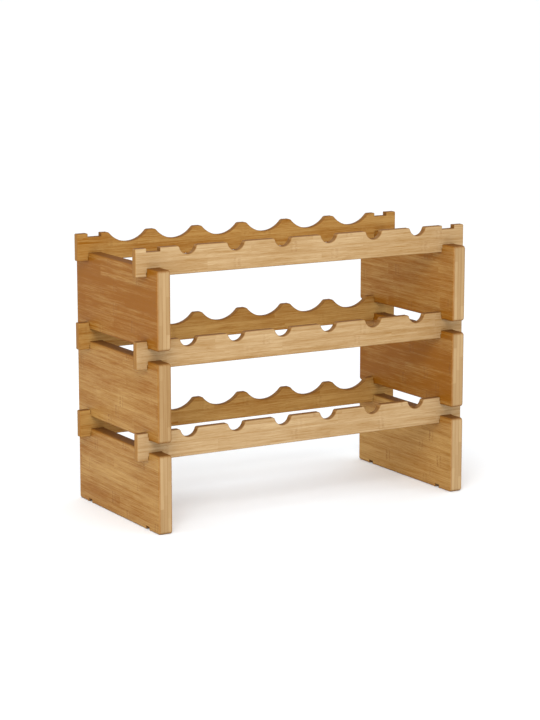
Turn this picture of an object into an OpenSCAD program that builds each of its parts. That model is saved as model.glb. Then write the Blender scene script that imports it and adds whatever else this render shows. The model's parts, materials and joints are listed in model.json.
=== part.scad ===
// Stackable slot-together wine rack of bamboo board.
// Each tier is two side panels with a front rail and a back rail laid across them.
// No screws: every crossing is a lap joint that sits down under its own weight.
// The origin is on the floor under the middle of the rack. X runs along the rails,
// Y runs from the front to the back and Z is up.

/* [Side panels] */
// Depth of a side panel, front to back
panel_depth = 280; // [240:1:340]
// Height of a side panel
panel_height = 123; // [100:1:180]
// Thickness of a side panel
panel_thick = 23; // [18:0.5:28]
// Radius of the four outer corners, seen from the side
panel_corner = 5; // [1:0.5:12]
// Radius that the long edges of a side panel are eased to
panel_ease = 3; // [0.5:0.5:5]

/* [Rails] */
// Length of a rail, tip to tip
rail_length = 600; // [590:1:700]
// Height of a rail
rail_height = 43.5; // [40:0.5:60]
// Thickness of a rail
rail_thick = 11; // [9:0.5:16]
// How far a rail reaches past the outer face of a side panel
rail_ear = 19; // [12:1:24]
// How far the side panels stand out in front of and behind the rails
rail_inset = 34; // [20:1:50]
// Radius that the long edges and tips of a rail are eased to
rail_ease = 1.5; // [0.5:0.5:3]

/* [Lap joints] */
// Depth of the slot in the top of a side panel
panel_slot = 6.5; // [4:0.5:10]
// Depth of the notch in the underside of a rail
rail_underlap = 6.5; // [4:0.5:10]
// Depth of the notch in the top of a rail, where the next tier stands
rail_overlap = 6; // [4:0.5:10]
// Depth of the notch in the foot of a side panel
panel_foot_notch = 5.5; // [4:0.5:8]
// Play on each side of a board in its slot
lap_play = 0.3; // [0.1:0.1:0.6]

/* [Bottle places] */
// Bottles side by side on one tier
bottle_count = 6; // [4:1:6]
// Distance from one bottle to the next
bottle_pitch = 84; // [80:1:85]
// Radius of the round cut for a bottle's neck, in the front rail
neck_radius = 15; // [13:0.5:17]
// Depth of the neck cut
neck_depth = 13.5; // [8:0.5:14]
// Radius of the rounded lips beside the neck cut
neck_lip = 4; // [2:0.5:6]
// Radius of the round cut for a bottle's body, in the back rail
body_radius = 44; // [38:0.5:45]
// Depth of the body cut
body_depth = 17; // [10:0.5:18]
// Radius of the rounded lips beside the body cut
body_lip = 6; // [3:0.5:7]

/* [Hidden] */
$fn = 96;

// Which side of the rack a piece is on
LEFT = -1;
RIGHT = 1;
FRONT = -1;
BACK = 1;
// Extra length on a cutting shape, so that it runs clear past the board
clear = 2;
// How far a lip circle stands above the edge that it rolls over into
lip_rise = 0.15;

// Middle of a side panel in X, and of a rail in Y
panel_x = rail_length / 2 - rail_ear - panel_thick / 2;
rail_y = panel_depth / 2 - rail_inset - rail_thick / 2;
// Height of the lowest rail's underside, and from one tier to the next
first_rail_z = panel_height - panel_slot - rail_underlap;
tier_pitch = first_rail_z + rail_height - rail_overlap - panel_foot_notch;

function panel_z(tier) = (tier - 1) * tier_pitch;
function rail_z(tier) = first_rail_z + (tier - 1) * tier_pitch;
function place_x(place) = (place - (bottle_count - 1) / 2) * bottle_pitch;

// ---- flat shapes ----

// Rectangle with round corners, from the origin to [w, h]
module round_rect(w, h, r) {
    translate([r, 0]) square([w - 2 * r, h]);
    translate([0, r]) square([w, h - 2 * r]);
    for (x = [r, w - r], y = [r, h - r])
        translate([x, y]) circle(r);
}

// Round cut down into an edge at y = 0, with lips that roll over into the edge.
// Each lip circle touches the round of the cut, and stands proud of the edge by
// lip_rise so that it crosses the edge instead of grazing it.
module lipped_cut(radius, depth, lip) {
    centre_y = radius - depth;
    lip_y = lip_rise - lip;
    lip_x = sqrt(pow(radius + lip, 2) - pow(centre_y - lip_y, 2));
    share = radius / (radius + lip);
    touch = [lip_x * share, centre_y + (lip_y - centre_y) * share];
    difference() {
        union() {
            translate([0, centre_y]) circle(radius);
            polygon([
                [-lip_x, clear], [-lip_x, -lip_rise], [-touch[0], touch[1]],
                touch, [lip_x, -lip_rise], [lip_x, clear]
            ]);
        }
        for (side = [LEFT, RIGHT])
            translate([side * lip_x, lip_y]) circle(lip);
    }
}

// Square-bottomed notch centred on x = 0, cut from y = 0 towards [0, depth]
module notch(width, depth) {
    low = min(0, depth) - (depth > 0 ? clear : 0);
    high = max(0, depth) + (depth > 0 ? 0 : clear);
    translate([-width / 2 - lap_play, low]) square([width + 2 * lap_play, high - low]);
}

// Side panel seen along X: y across, z up
module panel_outline() {
    difference() {
        translate([-panel_depth / 2, 0]) round_rect(panel_depth, panel_height, panel_corner);
        for (side = [FRONT, BACK]) {
            translate([side * rail_y, panel_height]) notch(rail_thick, -panel_slot);
            translate([side * rail_y, 0]) notch(rail_thick, panel_foot_notch);
        }
    }
}

// Rail seen along Y: x across, z up, with one round cut for each bottle
module rail_outline(radius, depth, lip) {
    difference() {
        translate([-rail_length / 2, 0]) round_rect(rail_length, rail_height, rail_ease);
        for (side = [LEFT, RIGHT]) {
            translate([side * panel_x, rail_height]) notch(panel_thick, -rail_overlap);
            translate([side * panel_x, 0]) notch(panel_thick, rail_underlap);
        }
        for (place = [0 : bottle_count - 1])
            translate([place_x(place), rail_height]) lipped_cut(radius, depth, lip);
    }
}

// ---- boards ----

// Flat shape in y and z pushed along x, centred on x = 0
module along_x(length) {
    translate([-length / 2, 0, 0]) rotate([90, 0, 90]) linear_extrude(length) children();
}

// Flat shape in x and z pushed along y, centred on y = 0
module along_y(length) {
    translate([0, length / 2, 0]) rotate([90, 0, 0]) linear_extrude(length) children();
}

// Side panel with its long edges and its upright edges eased
module panel_board() {
    intersection() {
        along_x(panel_thick) panel_outline();
        along_y(panel_depth)
            translate([-panel_thick / 2, 0]) round_rect(panel_thick, panel_height, panel_ease);
        translate([-panel_thick / 2, -panel_depth / 2, 0]) linear_extrude(panel_height)
            round_rect(panel_thick, panel_depth, panel_ease);
    }
}

// Rail with its long edges and its tips eased
module rail_board(radius, depth, lip) {
    intersection() {
        along_y(rail_thick) rail_outline(radius, depth, lip);
        along_x(rail_length)
            translate([-rail_thick / 2, 0]) round_rect(rail_thick, rail_height, rail_ease);
        translate([-rail_length / 2, -rail_thick / 2, 0]) linear_extrude(rail_height)
            round_rect(rail_length, rail_thick, rail_ease);
    }
}

// ---- pieces ----

// Side panel of a tier, on the left or the right
module side_panel(side, tier) {
    color([0.72, 0.49, 0.27])
        translate([side * panel_x, 0, panel_z(tier)]) panel_board();
}

// Front rail of a tier, with the narrow cuts for the necks
module front_rail(tier) {
    color([0.84, 0.68, 0.45])
        translate([0, FRONT * rail_y, rail_z(tier)]) rail_board(neck_radius, neck_depth, neck_lip);
}

// Back rail of a tier, with the wide cuts for the bodies
module back_rail(tier) {
    color([0.80, 0.62, 0.38])
        translate([0, BACK * rail_y, rail_z(tier)]) rail_board(body_radius, body_depth, body_lip);
}

side_panel(LEFT, 1);  // side_panel_left_1
side_panel(RIGHT, 1);  // side_panel_right_1
front_rail(1);  // front_rail_1
back_rail(1);  // back_rail_1
side_panel(LEFT, 2);  // side_panel_left_2
side_panel(RIGHT, 2);  // side_panel_right_2
front_rail(2);  // front_rail_2
back_rail(2);  // back_rail_2
side_panel(LEFT, 3);  // side_panel_left_3
side_panel(RIGHT, 3);  // side_panel_right_3
front_rail(3);  // front_rail_3
back_rail(3);  // back_rail_3
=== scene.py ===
"""Stackable bamboo wine rack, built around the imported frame.

Each board is a closed mesh made from a 2-D outline, with a procedural finish of laminated bamboo. The
stage is a pale floor with soft light and a camera.
"""

import json
import math

import bmesh
import bpy
from bpy.props import FloatProperty, FloatVectorProperty, PointerProperty
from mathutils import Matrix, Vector
from mathutils.geometry import delaunay_2d_cdt

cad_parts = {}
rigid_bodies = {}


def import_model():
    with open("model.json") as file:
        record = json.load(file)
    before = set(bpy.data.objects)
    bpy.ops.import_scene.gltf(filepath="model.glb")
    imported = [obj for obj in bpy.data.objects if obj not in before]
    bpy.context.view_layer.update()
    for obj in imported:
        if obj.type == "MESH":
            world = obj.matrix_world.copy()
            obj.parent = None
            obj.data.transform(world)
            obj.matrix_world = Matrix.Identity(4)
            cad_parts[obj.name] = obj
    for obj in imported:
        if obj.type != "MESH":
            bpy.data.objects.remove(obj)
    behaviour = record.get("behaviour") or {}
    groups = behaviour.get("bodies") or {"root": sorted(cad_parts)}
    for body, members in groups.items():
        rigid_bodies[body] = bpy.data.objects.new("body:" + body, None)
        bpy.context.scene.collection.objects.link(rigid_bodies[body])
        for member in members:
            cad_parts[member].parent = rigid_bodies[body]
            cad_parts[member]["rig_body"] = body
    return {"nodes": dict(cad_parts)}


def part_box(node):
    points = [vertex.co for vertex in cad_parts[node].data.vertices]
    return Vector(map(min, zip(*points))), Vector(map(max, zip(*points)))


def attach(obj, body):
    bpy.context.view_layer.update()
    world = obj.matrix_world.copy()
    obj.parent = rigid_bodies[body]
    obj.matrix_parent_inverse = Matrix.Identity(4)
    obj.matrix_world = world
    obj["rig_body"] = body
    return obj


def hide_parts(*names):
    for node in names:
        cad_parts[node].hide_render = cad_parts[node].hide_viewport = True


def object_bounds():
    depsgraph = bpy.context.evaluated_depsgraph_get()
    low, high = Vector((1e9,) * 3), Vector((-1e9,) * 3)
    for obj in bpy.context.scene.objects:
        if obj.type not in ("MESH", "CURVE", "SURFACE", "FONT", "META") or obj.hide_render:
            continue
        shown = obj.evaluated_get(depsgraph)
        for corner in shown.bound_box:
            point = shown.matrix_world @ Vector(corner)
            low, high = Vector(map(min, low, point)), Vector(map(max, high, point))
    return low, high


bl_info = {
    "name": "Bamboo Wine Rack",
    "version": (1, 0, 0),
    "blender": (4, 5, 0),
    "location": "3D View > Sidebar > Wine Rack",
    "description": "Builds the boards of a stackable bamboo wine rack, their finish and a plain stage",
    "category": "Object",
}

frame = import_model()
CAD_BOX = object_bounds()

MM = 0.001
TIERS = (1, 2, 3)
SIDES = ("left", "right")
BOTTLES_PER_TIER = 6

# Segments in the rounding of an edge, in a filleted corner, and in each part of a round cut
EASE_STEPS = 5
FILLET_STEPS = 6
LIP_STEPS = 7
ROUND_STEPS = 22

# How many notch-mouth radii it takes an edge to go from its own easing to the notch's
NOTCH_BLEND = 5

# Which way an outline runs along a level edge
RIGHTWARD = 1
LEFTWARD = -1

# Where the key light stands and where the camera aims, from the middle of the rack, in metres
KEY_PLACE = (-1.35, -2.05, 1.55)
CAMERA_AIM = (-0.0038, 0.0, 0.0048)

# Width of the camera's sensor in millimetres, and how far it sees in metres
SENSOR_WIDTH = 36.0
SIGHT = 100.0

# How much lighter or deeper each board's faces and its ends are than its neighbours', and what sets
# its grain apart
PANEL_TONES_AND_SHADE = {
    ("left", 1): (-0.09, 0.14, 3.0),
    ("left", 2): (-0.11, -0.20, 11.0),
    ("left", 3): (-0.42, 0.12, 7.0),
    ("right", 1): (-0.03, 0.28, 23.0),
    # Painted shade: this panel's deep tone stands for shade on its inside face
    ("right", 2): (-0.42, 0.16, 31.0),
    ("right", 3): (-0.23, 0.20, 17.0),
}
RAIL_TONES = {
    ("front", 1): (0.18, 0.06, 41.0),
    ("front", 2): (0.02, -0.08, 43.0),
    ("front", 3): (0.06, 0.04, 47.0),
    ("back", 1): (0.06, 0.0, 53.0),
    ("back", 2): (0.02, 0.0, 59.0),
    ("back", 3): (-0.08, 0.0, 61.0),
}

# Plies in the thickness of a board
PANEL_PLIES = 3.6
RAIL_PLIES = 1.6

# How strongly the node rings show
PANEL_RINGS = 0.55
RAIL_RINGS = 0.24

# Repeats per metre of each effect, along the grain, through the board and across the grain
STREAK_SCALE = (5.0, 150.0, 150.0)
LONG_FIBRE_SCALE = (13.0, 500.0, 500.0)
FINE_FIBRE_SCALE = (32.0, 900.0, 900.0)
PORE_SCALE = (95.0, 2100.0, 2100.0)
CLOUD_SCALE = (7.0, 20.0, 20.0)
END_GRAIN_SCALE = (400.0, 560.0, 14.0)
RING_WAVER_SCALE = (60.0, 150.0, 150.0)
RING_DASH_SCALE = (150.0, 420.0, 420.0)
RUB_SCALE = (60.0, 140.0, 140.0)
FLOOR_TOOTH_SCALE = 700.0

# How far each ply is staggered against the next, in strips and in blocks, and how far along itself a
# strip is shifted at most, in pieces and in node spacings
PLY_STAGGER = 0.43
BLOCK_STAGGER = 0.37
STRIP_STAGGER = 7.0

# How far apart the fibres of two pieces may be taken, in metres
PIECE_APART = (3.0, 3.0, 3.0)

# Keeps the random values of one ply's pieces apart from the next ply's
PLY_ROWS = 37.0

# Weight of a piece's own tone beside that of its strip
PIECE_WEIGHT = 1.3

# Where each glue line is full and where it has faded out, and the height of a block on a cut end
STRIP_LINE = (0.15 * MM, 0.60 * MM)
BUTT_LINE = (0.15 * MM, 0.50 * MM)
PLY_LINE = (0.15 * MM, 0.70 * MM)
END_BLOCK = 58.0 * MM

# A node ring: its waver, where its two lines and its paler band are full and have faded out, and the
# distance between the lines
RING_WAVER = 5.0 * MM
FIRST_RING = (1.2 * MM, 3.6 * MM)
SECOND_RING = (0.8 * MM, 3.0 * MM)
RING_BAND = (3.0 * MM, 14.0 * MM)
RING_GAP = 7.8 * MM

# Strength of a piece's butt joint and of a ring's second line, beside a full line
BUTT_SHARE = 0.30
SECOND_RING_SHARE = 0.75

# Where a mask starts and ends to show in its noise, and, where they follow, its strength at each
STREAK_SPAN = (0.28, 0.72)
PORE_SPAN = (0.56, 0.72)
RING_BREAKS = (0.40, 0.60, 0.10, 1.0)
RING_STRENGTHS = (0.05, 0.80, 0.1, 1.0)
RUB_BREAKS = (0.30, 0.70, 0.35, 1.0)

# Weight of the broad streaks beside the narrow ones
BROAD_WEIGHT = 0.35

# How far each effect moves the tone between deep and light
STRIP_SWING = 0.26
STREAK_SWING = 0.95
FIBRE_SWING = 1.05
CLOUD_SWING = 0.60
PORE_DEPTH = 0.22
BAND_LIFT = 0.06
END_GRAIN_SWING = 0.75
END_BLOCK_SWING = 0.45

# Share of the glue colour, of the painted shade on level and routed surfaces and of the worn colour,
# partly painted shade, where each is full
SEAM_SHARE = 0.20
PLY_SHARE = 0.40
LEVEL_SHADE_SHARE = 0.90
ROUTED_SHADE_SHARE = 0.62
WORN_AND_SHADE_SHARE = 0.50

# Two streak tones with the roughness at each, and what fibres, cut ends, sawn faces and wear add or take
STREAK_ROUGHNESS = (0.2, 0.8, 0.50, 0.40)
FIBRE_ROUGHNESS = 0.12
END_ROUGHNESS = 0.10
SAWN_ROUGHNESS = 0.36
WORN_SMOOTHNESS = 0.08

# Relief: how far each effect stands proud or lies deep, as a share of the relief's full depth
FIBRE_RELIEF = 0.5
STREAK_RELIEF = 0.5
PORE_RELIEF = 0.5
SEAM_RELIEF = 0.35
RING_RELIEF = 0.30
BAMBOO_RELIEF_DEPTH = 0.3 * MM
FLOOR_RELIEF_DEPTH = 0.2 * MM


# ---- sizes and colours that a user may change ----


def length(name, description, default_mm, low_mm, high_mm):
    """A length property whose default and limits are given in millimetres."""
    return FloatProperty(
        name=name,
        description=description,
        default=default_mm * MM,
        min=low_mm * MM,
        max=high_mm * MM,
        precision=4,
        unit="LENGTH",
    )


def colour(name, description, default):
    """A colour property, linear."""
    return FloatVectorProperty(
        name=name,
        description=description,
        default=default,
        min=0.0,
        max=1.0,
        size=3,
        subtype="COLOR",
    )


class WineRackSizes(bpy.types.PropertyGroup):
    """Sizes of the cuts and of the eased edges. The boards' own sizes come from the frame."""

    panel_corner: length("Panel corner", "Radius of a side panel's outer corners", 5.0, 3.5, 12.0)
    panel_ease: length("Panel edge", "Radius that a side panel's edges are eased to", 3.0, 0.5, 3.4)
    rail_corner: length("Rail corner", "Radius of a rail's outer corners", 2.0, 1.6, 4.0)
    rail_ease: length("Rail edge", "Radius that a rail's edges are eased to", 1.4, 0.3, 1.5)
    notch_ease: length("Notch edge", "Radius that the edges of a notch are eased to", 0.7, 0.2, 0.9)
    notch_mouth: length("Notch mouth", "Fillet where a notch opens", 1.0, 0.95, 2.0)
    foot_mouth: length("Foot notch mouth", "Fillet where a notch in a panel's foot opens", 1.8, 0.95, 2.0)
    notch_root: length("Notch root", "Fillet in the inner corners of a notch", 0.4, 0.1, 0.6)
    lap_play: length("Lap play", "Play on each side of a board in its notch", 0.3, 0.1, 0.6)
    lap_gap: length("Lap gap", "Gap left under a board where it sits in a rail", 0.02, 0.0, 0.1)
    upper_lap: length("Upper lap", "Depth of the notch in the top of a rail", 6.0, 4.0, 10.0)
    bottle_pitch: length("Bottle pitch", "Distance from one bottle to the next", 84.0, 80.0, 85.0)
    neck_radius: length("Neck cut", "Radius of the cut for a bottle's neck", 15.0, 13.0, 17.0)
    neck_depth: length("Neck depth", "Depth of the neck cut", 13.5, 8.0, 14.0)
    neck_lip: length("Neck lip", "Radius of the lips beside the neck cut", 4.0, 2.0, 6.0)
    body_radius: length("Body cut", "Radius of the cut for a bottle's body", 44.0, 38.0, 45.0)
    body_depth: length("Body depth", "Depth of the body cut", 17.0, 10.0, 18.0)
    body_lip: length("Body lip", "Radius of the lips beside the body cut", 6.0, 3.0, 7.0)


class WineRackFinish(bpy.types.PropertyGroup):
    """Colours and strip sizes of the laminated bamboo."""

    panel_light: colour("Panel light", "Light tone of a side panel's faces", (0.500, 0.305, 0.098))
    panel_deep: colour("Panel deep", "Deep tone of a side panel's faces", (0.245, 0.084, 0.003))
    rail_light: colour("Rail light", "Light tone of a rail's faces", (0.520, 0.364, 0.196))
    rail_deep: colour("Rail deep", "Deep tone of a rail's faces", (0.280, 0.138, 0.030))
    panel_end_light: colour("Panel end light", "Light tone of a panel's ends", (0.452, 0.302, 0.150))
    panel_end_deep: colour("Panel end deep", "Deep tone of a panel's ends", (0.275, 0.150, 0.052))
    # Painted shade: a rail's tips are darker than a panel's ends, as if their end grain lay in shade
    shaded_rail_end_light: colour("Shaded rail end light", "Light tone of a rail's tips", (0.360, 0.180, 0.045))
    shaded_rail_end_deep: colour("Shaded rail end deep", "Deep tone of a rail's tips", (0.225, 0.090, 0.012))
    node_brown: colour("Node brown", "Brown of the rings that cross a culm", (0.190, 0.068, 0.012))
    glue_brown: colour("Glue brown", "Brown of the glue lines", (0.210, 0.092, 0.020))
    # Painted shade: the brown that level, sawn and routed surfaces are darkened towards
    sawn_shade_brown: colour("Sawn shade brown", "Brown of sawn and routed surfaces", (0.150, 0.054, 0.008))
    panel_strip: length("Panel strip", "Width of a bamboo strip in a side panel", 19.2, 12.0, 30.0)
    rail_strip: length("Rail strip", "Width of a bamboo strip in a rail", 16.4, 12.0, 30.0)
    piece_length: length("Piece length", "Length of a piece within a strip", 205.0, 80.0, 600.0)
    node_spacing: length("Node spacing", "Distance between two rings of a culm", 170.0, 120.0, 400.0)


class WineRackStage(bpy.types.PropertyGroup):
    """Floor, lights and camera."""

    floor_radius: length("Floor radius", "Radius of the floor", 38000.0, 2000.0, 60000.0)
    floor_colour: colour("Floor", "Colour of the floor", (0.930, 0.955, 0.975))
    sky_strength: FloatProperty(
        name="Surround",
        description="Strength of the even white surround",
        default=1.08,
        min=0.0,
        max=4.0,
    )
    key_strength: FloatProperty(
        name="Key light",
        description="Power of the broad light from the front, above and to the left, in watts",
        default=42.0,
        min=0.0,
        max=500.0,
    )
    key_width: length("Key width", "Width of the key light", 1400.0, 100.0, 4000.0)
    azimuth: FloatProperty(
        name="Camera azimuth",
        description="Direction that the camera stands in, from straight in front",
        default=math.radians(-30.376),
        subtype="ANGLE",
    )
    elevation: FloatProperty(
        name="Camera elevation",
        description="Angle of the camera above the horizon",
        default=math.radians(10.631),
        subtype="ANGLE",
    )
    distance: length("Camera distance", "From the camera to its target", 3613.6, 500.0, 20000.0)
    lens: FloatProperty(
        name="Focal length",
        description="Focal length in millimetres on a 36 mm sensor",
        default=111.46,
        min=20.0,
        max=400.0,
    )


# ---- outlines ----


class Outline:
    """A closed outline in x and z, run anticlockwise, with a normal and an edge radius at each point."""

    def __init__(self):
        self.points = []

    def add(self, place, normal, ease, cut=0.0):
        """One point. cut is 1 on a surface that the maker routed or sawed into the board."""
        if self.points and (self.points[-1][0] - Vector(place)).length < 1e-6:
            return
        self.points.append((Vector(place), Vector(normal).normalized(), ease, cut))

    def arc(self, centre, radius, start, end, steps, ease, cut=0.0):
        """An arc from one angle to another. The normals of a clockwise one point to its centre."""
        outward = 1 if end > start else -1
        for i in range(steps + 1):
            angle = start + (end - start) * i / steps
            away = Vector((math.cos(angle), math.sin(angle)))
            self.add(Vector(centre) + away * radius, away * outward, ease, cut)

    def corner(self, before, here, after, radius, ease, cut=0.0):
        """A filleted corner between the straight runs before-here and here-after."""
        here = Vector(here)
        back = (Vector(before) - here).normalized()
        ahead = (Vector(after) - here).normalized()
        half = back.angle(ahead) / 2
        centre = here + (back + ahead).normalized() * radius / math.sin(half)
        first = here + back * radius / math.tan(half) - centre
        last = here + ahead * radius / math.tan(half) - centre
        start = math.atan2(first.y, first.x)
        turn = first.angle_signed(last)
        self.arc(centre, radius, start, start - turn, FILLET_STEPS, ease, cut)

    def notch(self, sizes, centre, edge, depth, width, heading, ease, mouth):
        """A square-bottomed notch in a level edge, with filleted mouths. A positive depth cuts upwards."""
        reach = width / 2 + sizes.lap_play
        blend = NOTCH_BLEND * sizes.notch_mouth
        near = centre - heading * reach
        far = centre + heading * reach
        floor = edge + depth
        flat = (0, -1) if depth > 0 else (0, 1)
        eased = sizes.notch_ease
        root = sizes.notch_root
        self.add((near - heading * blend, edge), flat, ease)
        self.corner((near - heading, edge), (near, edge), (near, floor), mouth, eased, 1.0)
        self.corner((near, edge), (near, floor), (far, floor), root, eased, 1.0)
        self.corner((near, floor), (far, floor), (far, edge), root, eased, 1.0)
        self.corner((far, floor), (far, edge), (far + heading, edge), mouth, eased, 1.0)
        self.add((far + heading * blend, edge), flat, ease)

    def round_cut(self, centre, edge, radius, depth, lip, ease):
        """A round cut down into the top edge, run leftwards, with lips that roll over into the edge."""
        rise = radius - depth
        lip_x = math.sqrt((radius + lip) ** 2 - (rise + lip) ** 2)
        slope = math.atan2(rise + lip, lip_x)
        quarter = math.pi / 2
        right = (centre + lip_x, edge - lip)
        left = (centre - lip_x, edge - lip)
        self.arc(right, lip, quarter, math.pi - slope, LIP_STEPS, ease)
        self.arc((centre, edge + rise), radius, -slope, slope - math.pi, ROUND_STEPS, ease, 1.0)
        self.arc(left, lip, slope, quarter, LIP_STEPS, ease)


def panel_outline(sizes, long, high, seats, under_lap, foot_lap, rail_thick):
    """Side panel: x runs from front to back. seats are the places of the two rails."""
    right, top = long / 2, high / 2
    left, bottom = -right, -top
    radius, ease, mouth = sizes.panel_corner, sizes.panel_ease, sizes.notch_mouth
    shape = Outline()
    shape.corner((left, top), (left, bottom), (right, bottom), radius, ease)
    for seat in sorted(seats):
        shape.notch(sizes, seat, bottom, foot_lap, rail_thick, RIGHTWARD, ease, sizes.foot_mouth)
    shape.corner((left, bottom), (right, bottom), (right, top), radius, ease)
    shape.corner((right, bottom), (right, top), (left, top), radius, ease)
    for seat in sorted(seats, reverse=True):
        shape.notch(sizes, seat, top, -under_lap, rail_thick, LEFTWARD, ease, mouth)
    shape.corner((right, top), (left, top), (left, bottom), radius, ease)
    return shape


def rail_outline(sizes, long, high, seats, under_lap, panel_thick, cut):
    """Rail: x runs along it. seats are the places of the two side panels, and cut the bottle cut."""
    right, top = long / 2, high / 2
    left, bottom = -right, -top
    radius, ease, mouth = sizes.rail_corner, sizes.rail_ease, sizes.notch_mouth
    lower_lap = under_lap + sizes.lap_gap
    upper_lap = -sizes.upper_lap - sizes.lap_gap
    shape = Outline()
    shape.corner((left, top), (left, bottom), (right, bottom), radius, ease)
    for seat in sorted(seats):
        shape.notch(sizes, seat, bottom, lower_lap, panel_thick, RIGHTWARD, ease, mouth)
    shape.corner((left, bottom), (right, bottom), (right, top), radius, ease)
    shape.corner((right, bottom), (right, top), (left, top), radius, ease)
    shape.notch(sizes, max(seats), top, upper_lap, panel_thick, LEFTWARD, ease, mouth)
    for place in reversed(range(BOTTLES_PER_TIER)):
        centre = (place - (BOTTLES_PER_TIER - 1) / 2) * sizes.bottle_pitch
        shape.round_cut(centre, top, *cut, ease)
    shape.notch(sizes, min(seats), top, upper_lap, panel_thick, LEFTWARD, ease, mouth)
    shape.corner((right, top), (left, top), (left, bottom), radius, ease)
    return shape


# ---- board meshes ----


def mitres(points):
    """For each point, the step that moves both of its neighbouring runs inwards by one."""
    found = []
    for i, (here, *_rest) in enumerate(points):
        before = points[i - 1][0]
        after = points[(i + 1) % len(points)][0]
        into = (here - before).normalized()
        out = (after - here).normalized()
        first = Vector((-into.y, into.x))
        second = Vector((-out.y, out.x))
        found.append((first + second) / (1 + first.dot(second)))
    return found


def board_mesh(name, shape, thick):
    """A board with the outline in x and z and every edge eased, as a closed mesh."""
    points = shape.points
    steps = mitres(points)
    half = thick / 2
    quarter = math.pi / 2
    turns = [quarter * i / EASE_STEPS for i in range(EASE_STEPS + 1)]
    profile = [(-1, turn) for turn in reversed(turns)] + [(1, turn) for turn in turns]
    made = bmesh.new()
    facing = made.verts.layers.float_vector.new("facing")
    marks = made.verts.layers.float_vector.new("marks")
    normals = []
    rings = []
    for side, turn in profile:
        ring = []
        for (place, normal, ease, cut), inwards in zip(points, steps):
            inset = ease * (1 - math.cos(turn))
            depth = side * (half - ease * (1 - math.sin(turn)))
            x, z = place + inwards * inset
            flat = math.cos(turn)
            way = Vector((normal.x * flat, side * math.sin(turn), normal.y * flat))
            vert = made.verts.new((x, depth, z))
            vert[facing] = (way.x**2, way.z**2, way.y**2)
            vert[marks] = (math.sin(2 * turn), cut * flat, 0)
            normals.append(way)
            ring.append(vert)
        rings.append(ring)
    count = len(points)
    for low, high in zip(rings, rings[1:]):
        for i in range(count):
            j = (i + 1) % count
            made.faces.new((low[i], high[i], high[j], low[j]))
    for ring in (rings[0], rings[-1]):
        flat = [vert.co.xz for vert in ring]
        _places, _edges, filled, *_rest = delaunay_2d_cdt(flat, [], [range(count)], 1, 1e-9)
        for corners in filled:
            made.faces.new([ring[i] for i in corners])
    bmesh.ops.recalc_face_normals(made, faces=made.faces)
    for face in made.faces:
        face.smooth = True
    mesh = bpy.data.meshes.new(name)
    made.to_mesh(mesh)
    made.free()
    mesh.normals_split_custom_set_from_vertices(normals)
    return mesh


def place_board(name, node, mesh, turned):
    """Puts a board where its CAD node is, and lets it ride and stand for that node."""
    low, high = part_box(node)
    board = bpy.data.objects.new(name, mesh)
    bpy.context.scene.collection.objects.link(board)
    board.location = (low + high) / 2
    if turned:
        board.rotation_euler.z = math.pi / 2
    body = frame["nodes"][node]["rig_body"]
    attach(board, body)
    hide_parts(node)
    return board


# ---- node trees ----


class Tree:
    """Adds nodes to a shader tree. A value is a socket to link, or a plain number, vector or colour."""

    def __init__(self, tree):
        self.tree = tree
        self.count = 0

    def node(self, kind, inputs=(), **settings):
        """One node with its settings, and with the given inputs by name or number."""
        made = self.tree.nodes.new("ShaderNode" + kind)
        made.location = (220 * (self.count % 12), -260 * (self.count // 12))
        self.count += 1
        for name, value in settings.items():
            setattr(made, name, value)
        for key, value in dict(inputs).items():
            self.put(made.inputs[key], value)
        return made

    def put(self, socket, value):
        """Links a socket, or sets its own value."""
        if isinstance(value, bpy.types.NodeSocket):
            self.tree.links.new(value, socket)
        else:
            socket.default_value = value

    def maths(self, operation, *values, clamp=False):
        made = self.node("Math", dict(enumerate(values)), operation=operation, use_clamp=clamp)
        return made.outputs[0]

    def vector(self, operation, *values):
        made = self.node("VectorMath", dict(enumerate(values)), operation=operation)
        return made.outputs[0]

    def combine(self, x, y, z):
        return self.node("CombineXYZ", {"X": x, "Y": y, "Z": z}).outputs[0]

    def chance(self, x, y, z):
        """An unchanging random value and colour for each whole-numbered place."""
        made = self.node("TexWhiteNoise", {"Vector": self.combine(x, y, z)})
        return made.outputs

    def noise(self, vector, scale=1.0, detail=2.0, rough=0.5, bend=0.0):
        """Noise from 0 to 1."""
        inputs = {
            "Vector": vector,
            "Scale": scale,
            "Detail": detail,
            "Roughness": rough,
            "Distortion": bend,
        }
        return self.node("TexNoise", inputs).outputs[0]

    def step(self, value, start, end, low=0.0, high=1.0):
        """A smooth step from low, at start, to high, at end."""
        inputs = {
            "Value": value,
            "From Min": start,
            "From Max": end,
            "To Min": low,
            "To Max": high,
        }
        made = self.node("MapRange", inputs, interpolation_type="SMOOTHSTEP")
        return made.outputs[0]

    def mix(self, share, first, second):
        """A mix of two colours."""
        inputs = {0: share, 6: first, 7: second}
        made = self.node("Mix", inputs, data_type="RGBA")
        return made.outputs[2]


def new_group(name, inputs, outputs):
    """A shader node group with named sockets, as (its tree, its inputs, its output node)."""
    kinds = {"f": "NodeSocketFloat", "v": "NodeSocketVector", "c": "NodeSocketColor"}
    group = bpy.data.node_groups.new(name, "ShaderNodeTree")
    for socket, kind in inputs.items():
        group.interface.new_socket(name=socket, in_out="INPUT", socket_type=kinds[kind])
    for socket, kind in outputs.items():
        group.interface.new_socket(name=socket, in_out="OUTPUT", socket_type=kinds[kind])
    entry = group.nodes.new("NodeGroupInput")
    entry.location = (-300, 0)
    leave = group.nodes.new("NodeGroupOutput")
    leave.location = (2900, 0)
    return Tree(group), entry.outputs, leave


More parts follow.
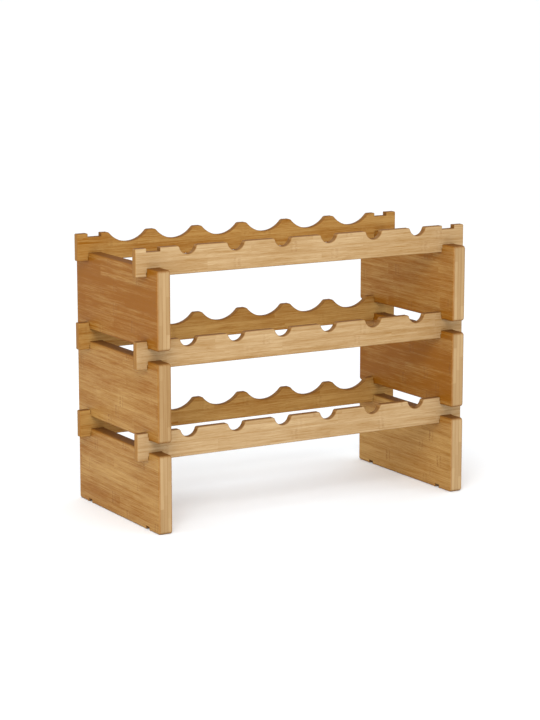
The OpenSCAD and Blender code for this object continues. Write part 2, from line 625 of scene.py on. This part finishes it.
def laminate_group():
    """Strips side by side and plies behind each other, each laid end to end from shorter pieces."""
    inputs = {
        "Vector": "v",
        "Strip Width": "f",
        "Ply Thickness": "f",
        "Piece Length": "f",
        "Seed": "f",
    }
    outputs = {
        "Tone": "f",
        "End Tone": "f",
        "Shift": "v",
        "Strip Line": "f",
        "Ply Line": "f",
    }
    t, given, leave = new_group("Bamboo Laminate", inputs, outputs)
    split = t.node("SeparateXYZ", {0: given["Vector"]}).outputs
    through = t.maths("ADD", t.maths("DIVIDE", split["Y"], given["Ply Thickness"]), 0.5)
    ply = t.maths("FLOOR", through)
    stagger = t.maths("MULTIPLY", ply, PLY_STAGGER)
    across = t.maths("DIVIDE", split["Z"], given["Strip Width"])
    across = t.maths("ADD", t.maths("ADD", across, stagger), 0.5)
    strip = t.maths("FLOOR", across)
    chance = t.chance(ply, strip, given["Seed"])
    along = t.maths("DIVIDE", split["X"], given["Piece Length"])
    along = t.maths("ADD", along, t.maths("MULTIPLY", chance["Value"], STRIP_STAGGER))
    row = t.maths("ADD", strip, t.maths("MULTIPLY", ply, PLY_ROWS))
    piece = t.chance(row, t.maths("FLOOR", along), given["Seed"])
    # On a cut end each ply shows as an upright band made of blocks
    stack = t.maths("DIVIDE", split["Z"], END_BLOCK)
    stack = t.maths("ADD", stack, t.maths("MULTIPLY", ply, BLOCK_STAGGER))
    block = t.chance(ply, t.maths("FLOOR", stack), t.maths("ADD", given["Seed"], 0.5))
    seam = t.maths("MULTIPLY", t.maths("PINGPONG", across, 0.5), given["Strip Width"])
    butt = t.maths("MULTIPLY", t.maths("PINGPONG", along, 0.5), given["Piece Length"])
    layer = t.maths("MULTIPLY", t.maths("PINGPONG", through, 0.5), given["Ply Thickness"])
    strip_line = t.step(seam, *STRIP_LINE, 1.0, 0.0)
    butt_line = t.step(butt, *BUTT_LINE, BUTT_SHARE, 0.0)
    tone = t.maths("ADD", chance["Value"], t.maths("MULTIPLY", piece["Value"], PIECE_WEIGHT))
    t.put(leave.inputs["Tone"], t.maths("DIVIDE", tone, 1.0 + PIECE_WEIGHT))
    t.put(leave.inputs["End Tone"], block["Value"])
    t.put(leave.inputs["Shift"], piece["Color"])
    t.put(leave.inputs["Strip Line"], t.maths("MAXIMUM", strip_line, butt_line))
    t.put(leave.inputs["Ply Line"], t.step(layer, *PLY_LINE, 1.0, 0.0))
    return t.tree


def node_ring_group():
    """The rings that cross a culm: paired, broken brown dashes with a paler band of bent fibre."""
    inputs = {"Vector": "v", "Shift": "v", "Spacing": "f"}
    outputs = {"Ring": "f", "Band": "f"}
    t, given, leave = new_group("Bamboo Node Rings", inputs, outputs)
    split = t.node("SeparateXYZ", {0: given["Vector"]}).outputs
    chance = t.node("SeparateXYZ", {0: given["Shift"]}).outputs
    along = t.maths("DIVIDE", split["X"], given["Spacing"])
    along = t.maths("ADD", along, t.maths("MULTIPLY", chance["X"], STRIP_STAGGER))
    along = t.maths("FRACT", along)
    off = t.maths("MULTIPLY", t.maths("SUBTRACT", along, 0.5), given["Spacing"])
    seen = t.vector("MULTIPLY", given["Vector"], RING_WAVER_SCALE)
    waver = t.maths("MULTIPLY", t.maths("SUBTRACT", t.noise(seen), 0.5), RING_WAVER)
    off = t.maths("ADD", off, waver)
    broken = t.noise(t.vector("MULTIPLY", given["Vector"], RING_DASH_SCALE), detail=3.0)
    broken = t.step(broken, *RING_BREAKS)
    main = t.step(t.maths("ABSOLUTE", off), *FIRST_RING, 1.0, 0.0)
    beside = t.maths("ABSOLUTE", t.maths("ADD", off, RING_GAP))
    second = t.step(beside, *SECOND_RING, SECOND_RING_SHARE, 0.0)
    ring = t.maths("MULTIPLY", t.maths("MAXIMUM", main, second), broken)
    strength = t.step(chance["Y"], *RING_STRENGTHS)
    t.put(leave.inputs["Ring"], t.maths("MULTIPLY", ring, strength))
    t.put(leave.inputs["Band"], t.step(t.maths("ABSOLUTE", off), *RING_BAND, 1.0, 0.0))
    return t.tree


def fibre_group():
    """Broad streaks, long fibres, short pores and slow cloudy changes, each from 0 to 1."""
    inputs = {"Vector": "v", "Shift": "v", "Seed": "f"}
    outputs = {"Streak": "f", "Fibre": "f", "Pore": "f", "Cloud": "f", "End Grain": "f"}
    t, given, leave = new_group("Bamboo Fibre", inputs, outputs)
    apart = t.vector("MULTIPLY", given["Shift"], PIECE_APART)
    moved = t.vector("ADD", given["Vector"], apart)
    board = t.combine(given["Seed"], given["Seed"], 0.0)
    whole = t.vector("ADD", given["Vector"], board)
    broad = t.vector("MULTIPLY", whole, STREAK_SCALE)
    long = t.vector("MULTIPLY", moved, LONG_FIBRE_SCALE)
    fine = t.vector("MULTIPLY", moved, FINE_FIBRE_SCALE)
    short = t.vector("MULTIPLY", moved, PORE_SCALE)
    slow = t.vector("MULTIPLY", whole, CLOUD_SCALE)
    upright = t.vector("MULTIPLY", whole, END_GRAIN_SCALE)
    streak = t.step(t.noise(broad, detail=4.0, rough=0.6, bend=0.15), *STREAK_SPAN)
    streak = t.maths("MULTIPLY", streak, BROAD_WEIGHT)
    narrow = t.noise(long, detail=4.0, rough=0.6, bend=0.10)
    narrow = t.maths("MULTIPLY", narrow, 1.0 - BROAD_WEIGHT)
    t.put(leave.inputs["Streak"], t.maths("ADD", streak, narrow))
    t.put(leave.inputs["Fibre"], t.noise(fine, detail=3.0, rough=0.6))
    t.put(leave.inputs["Pore"], t.step(t.noise(short, detail=1.0), *PORE_SPAN))
    t.put(leave.inputs["Cloud"], t.noise(slow, detail=3.0, rough=0.55, bend=0.4))
    t.put(leave.inputs["End Grain"], t.noise(upright, detail=3.0, rough=0.6))
    return t.tree


def edge_wear_and_shade_group():
    """Where lacquer has gathered on the eased edges, partly painted shade on their rounding: a mask broken
    up by small rubs.
    """
    inputs = {"Vector": "v", "Edge": "f", "Seed": "f"}
    outputs = {"Wear": "f"}
    t, given, leave = new_group("Edge Wear And Shade", inputs, outputs)
    moved = t.vector("ADD", given["Vector"], t.combine(given["Seed"], 0.0, given["Seed"]))
    rubs = t.noise(t.vector("MULTIPLY", moved, RUB_SCALE), detail=4.0, rough=0.65)
    rubs = t.step(rubs, *RUB_BREAKS)
    t.put(leave.inputs["Wear"], t.maths("MULTIPLY", given["Edge"], rubs))
    return t.tree


def bamboo_group(laminate, rings, fibre, wear_and_shade):
    """Colour, roughness and height of laminated bamboo on its faces, edges and cut ends."""
    inputs = {
        "Vector": "v",
        "Facing": "v",
        "Marks": "v",
        "Light": "c",
        "Deep": "c",
        "End Light": "c",
        "End Deep": "c",
        "Node Brown": "c",
        "Glue Brown": "c",
        "Sawn Shade Brown": "c",
        "Strip Width": "f",
        "Ply Thickness": "f",
        "Piece Length": "f",
        "Node Spacing": "f",
        "Node Strength": "f",
        "Tone": "f",
        "End Tone": "f",
        "Seed": "f",
    }
    outputs = {"Color": "c", "Roughness": "f", "Height": "f"}
    t, given, leave = new_group("Bamboo", inputs, outputs)

    def part(group, **values):
        made = t.node("Group", node_tree=group)
        for name, value in values.items():
            t.put(made.inputs[name.replace("_", " ")], value)
        return made.outputs

    def swing(value, amount):
        """A value from 0 to 1 as a change about zero."""
        return t.maths("MULTIPLY", t.maths("SUBTRACT", value, 0.5), amount)

    place, seed = given["Vector"], given["Seed"]
    sheet = part(
        laminate,
        Vector=place,
        Strip_Width=given["Strip Width"],
        Ply_Thickness=given["Ply Thickness"],
        Piece_Length=given["Piece Length"],
        Seed=seed,
    )
    ring = part(rings, Vector=place, Shift=sheet["Shift"], Spacing=given["Node Spacing"])
    grain = part(fibre, Vector=place, Shift=sheet["Shift"], Seed=seed)
    facing = t.node("SeparateXYZ", {0: given["Facing"]}).outputs
    marks = t.node("SeparateXYZ", {0: given["Marks"]}).outputs
    rubbed_and_shaded = part(wear_and_shade, Vector=place, Edge=marks["X"], Seed=seed)["Wear"]

    # Faces: strip to strip, streaks, fine fibres and slow clouds
    face = t.maths("ADD", swing(sheet["Tone"], STRIP_SWING), swing(grain["Streak"], STREAK_SWING))
    face = t.maths("ADD", face, swing(grain["Fibre"], FIBRE_SWING))
    face = t.maths("ADD", face, swing(grain["Cloud"], CLOUD_SWING))
    face = t.maths("SUBTRACT", face, t.maths("MULTIPLY", grain["Pore"], PORE_DEPTH))
    face = t.maths("ADD", face, t.maths("MULTIPLY", ring["Band"], BAND_LIFT))
    face = t.maths("ADD", face, t.maths("ADD", given["Tone"], 0.5), clamp=True)
    # Cut ends: upright streaks, and plies in blocks
    end = swing(grain["End Grain"], END_GRAIN_SWING)
    end = t.maths("ADD", end, swing(sheet["End Tone"], END_BLOCK_SWING))
    end = t.maths("ADD", end, t.maths("ADD", given["End Tone"], 0.5), clamp=True)
    face_colour = t.mix(face, given["Deep"], given["Light"])
    end_colour = t.mix(end, given["End Deep"], given["End Light"])
    shown = t.mix(facing["X"], face_colour, end_colour)
    seams = t.maths("SUBTRACT", SEAM_SHARE, facing["X"], clamp=True)
    seams = t.maths("MULTIPLY", sheet["Strip Line"], seams)
    layers = t.maths("MULTIPLY", sheet["Ply Line"], PLY_SHARE)
    shown = t.mix(t.maths("MAXIMUM", seams, layers), shown, given["Glue Brown"])
    brown = t.maths("MULTIPLY", ring["Ring"], t.maths("SUBTRACT", 1.0, facing["X"]))
    brown = t.maths("MULTIPLY", brown, given["Node Strength"])
    shown = t.mix(brown, shown, given["Node Brown"])
    # Painted shade: level and routed surfaces are darkened towards a shade brown, and the eased edges
    # darken where lacquer gathers, partly painted shade on their rounding
    sawn = t.maths("MULTIPLY", facing["Y"], LEVEL_SHADE_SHARE)
    sawn = t.maths("MAXIMUM", sawn, t.maths("MULTIPLY", marks["Y"], ROUTED_SHADE_SHARE))
    shown = t.mix(sawn, shown, given["Sawn Shade Brown"])
    # Eased edges darken towards the deep tone: lacquer gathered there, partly painted shade
    shown = t.mix(t.maths("MULTIPLY", rubbed_and_shaded, WORN_AND_SHADE_SHARE), shown, given["Deep"])
    t.put(leave.inputs["Color"], shown)

    rough = t.step(grain["Streak"], *STREAK_ROUGHNESS)
    rough = t.maths("ADD", rough, t.maths("MULTIPLY", facing["X"], END_ROUGHNESS))
    rough = t.maths("ADD", rough, t.maths("MULTIPLY", sawn, SAWN_ROUGHNESS))
    rough = t.maths("SUBTRACT", rough, t.maths("MULTIPLY", rubbed_and_shaded, WORN_SMOOTHNESS))
    rough = t.maths("ADD", rough, swing(grain["Fibre"], FIBRE_ROUGHNESS))
    t.put(leave.inputs["Roughness"], rough)

    height = swing(grain["Fibre"], FIBRE_RELIEF)
    height = t.maths("ADD", height, swing(grain["Streak"], STREAK_RELIEF))
    height = t.maths("SUBTRACT", height, t.maths("MULTIPLY", grain["Pore"], PORE_RELIEF))
    height = t.maths("SUBTRACT", height, t.maths("MULTIPLY", sheet["Strip Line"], SEAM_RELIEF))
    height = t.maths("SUBTRACT", height, t.maths("MULTIPLY", ring["Ring"], RING_RELIEF))
    t.put(leave.inputs["Height"], height)
    return t.tree


def bamboo_tree():
    """The bamboo group, built once."""
    return bpy.data.node_groups.get("Bamboo") or bamboo_group(
        laminate_group(), node_ring_group(), fibre_group(), edge_wear_and_shade_group()
    )


def bamboo_material(name, finish, colours, strip, ply, rings, tones):
    """Satin lacquered bamboo for one board."""
    material = bpy.data.materials.new(name)
    material.use_nodes = True
    material.node_tree.nodes.clear()
    t = Tree(material.node_tree)
    light, deep, end_light, end_deep = colours
    tone, end_tone, seed = tones
    values = {
        "Vector": t.node("TexCoord").outputs["Object"],
        "Facing": t.node("Attribute", attribute_name="facing").outputs["Vector"],
        "Marks": t.node("Attribute", attribute_name="marks").outputs["Vector"],
        "Light": (*light, 1.0),
        "Deep": (*deep, 1.0),
        "End Light": (*end_light, 1.0),
        "End Deep": (*end_deep, 1.0),
        "Node Brown": (*finish.node_brown, 1.0),
        "Glue Brown": (*finish.glue_brown, 1.0),
        "Sawn Shade Brown": (*finish.sawn_shade_brown, 1.0),
        "Strip Width": strip,
        "Ply Thickness": ply,
        "Piece Length": finish.piece_length,
        "Node Spacing": finish.node_spacing,
        "Node Strength": rings,
        "Tone": tone,
        "End Tone": end_tone,
        "Seed": seed,
    }
    bamboo = t.node("Group", node_tree=bamboo_tree())
    for socket, value in values.items():
        t.put(bamboo.inputs[socket], value)
    relief = {
        "Height": bamboo.outputs["Height"],
        "Strength": 0.35,
        "Distance": BAMBOO_RELIEF_DEPTH,
    }
    surface = {
        "Base Color": bamboo.outputs["Color"],
        "Roughness": bamboo.outputs["Roughness"],
        "Normal": t.node("Bump", relief).outputs["Normal"],
        "Coat Weight": 0.02,
        "Coat Roughness": 0.30,
        "Specular IOR Level": 0.08,
    }
    shader = t.node("BsdfPrincipled", surface)
    t.node("OutputMaterial", {"Surface": shader.outputs[0]})
    material.diffuse_color = (*light, 1.0)
    return material


def extent(node):
    """Size of a CAD node along x, y and z."""
    low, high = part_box(node)
    return high - low


def middle(node):
    """Centre of a CAD node's box."""
    low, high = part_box(node)
    return (low + high) / 2


def laps():
    """Depths of the lower lap, shared evenly, and of the whole upper lap."""
    panel_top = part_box("side_panel_left_1")[1].z
    rail_low, rail_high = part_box("front_rail_1")
    next_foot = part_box("side_panel_left_2")[0].z
    return (panel_top - rail_low.z) / 2, rail_high.z - next_foot


def lay_rails(context, row, cut, face_colours):
    """The rails of one row, front or back, on every tier."""
    sizes = context.scene.wine_rack_sizes
    finish = context.scene.wine_rack_finish
    under_lap, _upper = laps()
    seats = [middle(f"side_panel_{side}_1").x for side in SIDES]
    panel_thick = extent("side_panel_left_1").x
    for tier in TIERS:
        node = f"{row}_rail_{tier}"
        size = extent(node)
        shape = rail_outline(sizes, size.x, size.z, seats, under_lap, panel_thick, cut)
        name = f"{row.title()}Rail{tier}"
        board = place_board(name, node, board_mesh(name, shape, size.y), turned=False)
        board.data.materials.append(
            bamboo_material(
                f"Bamboo {row} rail {tier}",
                finish,
                (*face_colours, finish.shaded_rail_end_light, finish.shaded_rail_end_deep),
                finish.rail_strip,
                size.y / RAIL_PLIES,
                RAIL_RINGS,
                RAIL_TONES[row, tier],
            )
        )


# ---- operators ----


class WINERACK_OT_side_panels(bpy.types.Operator):
    """Build the six side panels, with a slot for each rail on top and a notch for each rail below"""

    bl_idname = "winerack.side_panels"
    bl_label = "Side Panels"
    bl_options = {"REGISTER", "UNDO"}

    def execute(self, context):
        sizes = context.scene.wine_rack_sizes
        finish = context.scene.wine_rack_finish
        under_lap, upper = laps()
        foot_lap = upper - sizes.upper_lap
        seats = [middle("front_rail_1").y, middle("back_rail_1").y]
        rail_thick = extent("front_rail_1").y
        colours = (
            finish.panel_light,
            finish.panel_deep,
            finish.panel_end_light,
            finish.panel_end_deep,
        )
        for side in SIDES:
            for tier in TIERS:
                node = f"side_panel_{side}_{tier}"
                size = extent(node)
                shape = panel_outline(
                    sizes, size.y, size.z, seats, under_lap, foot_lap, rail_thick
                )
                name = f"SidePanel{side.title()}{tier}"
                board = place_board(name, node, board_mesh(name, shape, size.x), turned=True)
                board.data.materials.append(
                    bamboo_material(
                        f"Bamboo {side} panel {tier}",
                        finish,
                        colours,
                        finish.panel_strip,
                        size.x / PANEL_PLIES,
                        PANEL_RINGS,
                        PANEL_TONES_AND_SHADE[side, tier],
                    )
                )
        return {"FINISHED"}


class WINERACK_OT_front_rails(bpy.types.Operator):
    """Build the three front rails, with a narrow round cut for each neck"""

    bl_idname = "winerack.front_rails"
    bl_label = "Front Rails"
    bl_options = {"REGISTER", "UNDO"}

    def execute(self, context):
        sizes = context.scene.wine_rack_sizes
        finish = context.scene.wine_rack_finish
        cut = (sizes.neck_radius, sizes.neck_depth, sizes.neck_lip)
        lay_rails(context, "front", cut, (finish.rail_light, finish.rail_deep))
        return {"FINISHED"}


class WINERACK_OT_back_rails(bpy.types.Operator):
    """Build the three back rails, with a wide round cut for each bottle body"""

    bl_idname = "winerack.back_rails"
    bl_label = "Back Rails"
    bl_options = {"REGISTER", "UNDO"}

    def execute(self, context):
        sizes = context.scene.wine_rack_sizes
        finish = context.scene.wine_rack_finish
        cut = (sizes.body_radius, sizes.body_depth, sizes.body_lip)
        lay_rails(context, "back", cut, (finish.panel_light, finish.panel_deep))
        return {"FINISHED"}


def broad_light(name, power, width, source, target):
    """A square light that faces the target. source is its place from there."""
    data = bpy.data.lights.new(name, "AREA")
    data.energy = power
    data.size = width
    light = bpy.data.objects.new(name, data)
    light.location = target + Vector(source)
    light.rotation_mode = "QUATERNION"
    light.rotation_quaternion = (-Vector(source)).to_track_quat("-Z", "Y")
    bpy.context.scene.collection.objects.link(light)


def floor_material(tint):
    """Matt pale paper, with a faint tooth."""
    material = bpy.data.materials.new("Pale floor")
    material.use_nodes = True
    material.node_tree.nodes.clear()
    t = Tree(material.node_tree)
    place = t.node("TexCoord").outputs["Object"]
    tooth = t.noise(place, scale=FLOOR_TOOTH_SCALE, detail=2.0)
    relief = {"Height": tooth, "Strength": 0.05, "Distance": FLOOR_RELIEF_DEPTH}
    surface = {
        "Base Color": (*tint, 1.0),
        "Roughness": t.step(tooth, 0.0, 1.0, 0.86, 0.94),
        "Normal": t.node("Bump", relief).outputs["Normal"],
        "Specular IOR Level": 0.15,
    }
    shader = t.node("BsdfPrincipled", surface)
    t.node("OutputMaterial", {"Surface": shader.outputs[0]})
    return material


def round_floor(radius, height):
    """A flat round floor."""
    made = bmesh.new()
    bmesh.ops.create_circle(made, cap_ends=True, cap_tris=True, segments=96, radius=radius)
    mesh = bpy.data.meshes.new("Floor")
    made.to_mesh(mesh)
    made.free()
    floor = bpy.data.objects.new("Floor", mesh)
    floor.location.z = height
    bpy.context.scene.collection.objects.link(floor)
    return floor


class WINERACK_OT_stage(bpy.types.Operator):
    """Set up the pale floor, the even surround, the broad key light and the camera"""

    bl_idname = "winerack.stage"
    bl_label = "Stage"
    bl_options = {"REGISTER", "UNDO"}

    def execute(self, context):
        stage = context.scene.wine_rack_stage
        low, high = CAD_BOX
        centre = (low + high) / 2
        floor = round_floor(stage.floor_radius, low.z)
        floor.data.materials.append(floor_material(stage.floor_colour))

        world = bpy.data.worlds.new("Even surround")
        world.use_nodes = True
        surround = world.node_tree.nodes["Background"]
        surround.inputs["Color"].default_value = (1.0, 1.0, 1.0, 1.0)
        surround.inputs["Strength"].default_value = stage.sky_strength
        context.scene.world = world

        broad_light("Key", stage.key_strength, stage.key_width, KEY_PLACE, centre)

        back = Vector(
            (
                math.sin(stage.azimuth) * math.cos(stage.elevation),
                -math.cos(stage.azimuth) * math.cos(stage.elevation),
                math.sin(stage.elevation),
            )
        )
        target = centre + Vector(CAMERA_AIM)
        lens = bpy.data.cameras.new("Camera")
        lens.sensor_width = SENSOR_WIDTH
        lens.lens = stage.lens
        lens.clip_end = SIGHT
        camera = bpy.data.objects.new("Camera", lens)
        camera.location = target + back * stage.distance
        camera.rotation_mode = "QUATERNION"
        camera.rotation_quaternion = (-back).to_track_quat("-Z", "Y")
        context.scene.collection.objects.link(camera)
        context.scene.camera = camera
        context.scene.view_settings.view_transform = "Standard"
        context.scene.view_settings.look = "None"
        return {"FINISHED"}


# ---- panel and registration ----


class WINERACK_PT_maker(bpy.types.Panel):
    """Lists the steps that build the wine rack"""

    bl_idname = "WINERACK_PT_maker"
    bl_label = "Wine Rack"
    bl_space_type = "VIEW_3D"
    bl_region_type = "UI"
    bl_category = "Wine Rack"

    def draw(self, context):
        layout = self.layout
        for operator in OPERATORS:
            layout.operator(operator.bl_idname)
        for group in GROUPS:
            box = layout.box()
            values = getattr(context.scene, GROUPS[group])
            for name in group.__annotations__:
                box.prop(values, name)


GROUPS = {
    WineRackSizes: "wine_rack_sizes",
    WineRackFinish: "wine_rack_finish",
    WineRackStage: "wine_rack_stage",
}
OPERATORS = (
    WINERACK_OT_side_panels,
    WINERACK_OT_front_rails,
    WINERACK_OT_back_rails,
    WINERACK_OT_stage,
)


def register():
    for group, name in GROUPS.items():
        bpy.utils.register_class(group)
        setattr(bpy.types.Scene, name, PointerProperty(type=group))
    for operator in OPERATORS:
        bpy.utils.register_class(operator)
    bpy.utils.register_class(WINERACK_PT_maker)


def unregister():
    bpy.utils.unregister_class(WINERACK_PT_maker)
    for operator in reversed(OPERATORS):
        bpy.utils.unregister_class(operator)
    for group, name in GROUPS.items():
        delattr(bpy.types.Scene, name)
        bpy.utils.unregister_class(group)


def main():
    """Builds every board and the stage."""
    register()
    bpy.ops.winerack.side_panels()
    bpy.ops.winerack.front_rails()
    bpy.ops.winerack.back_rails()
    bpy.ops.winerack.stage()
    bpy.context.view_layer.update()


if __name__ == "__main__":
    main()
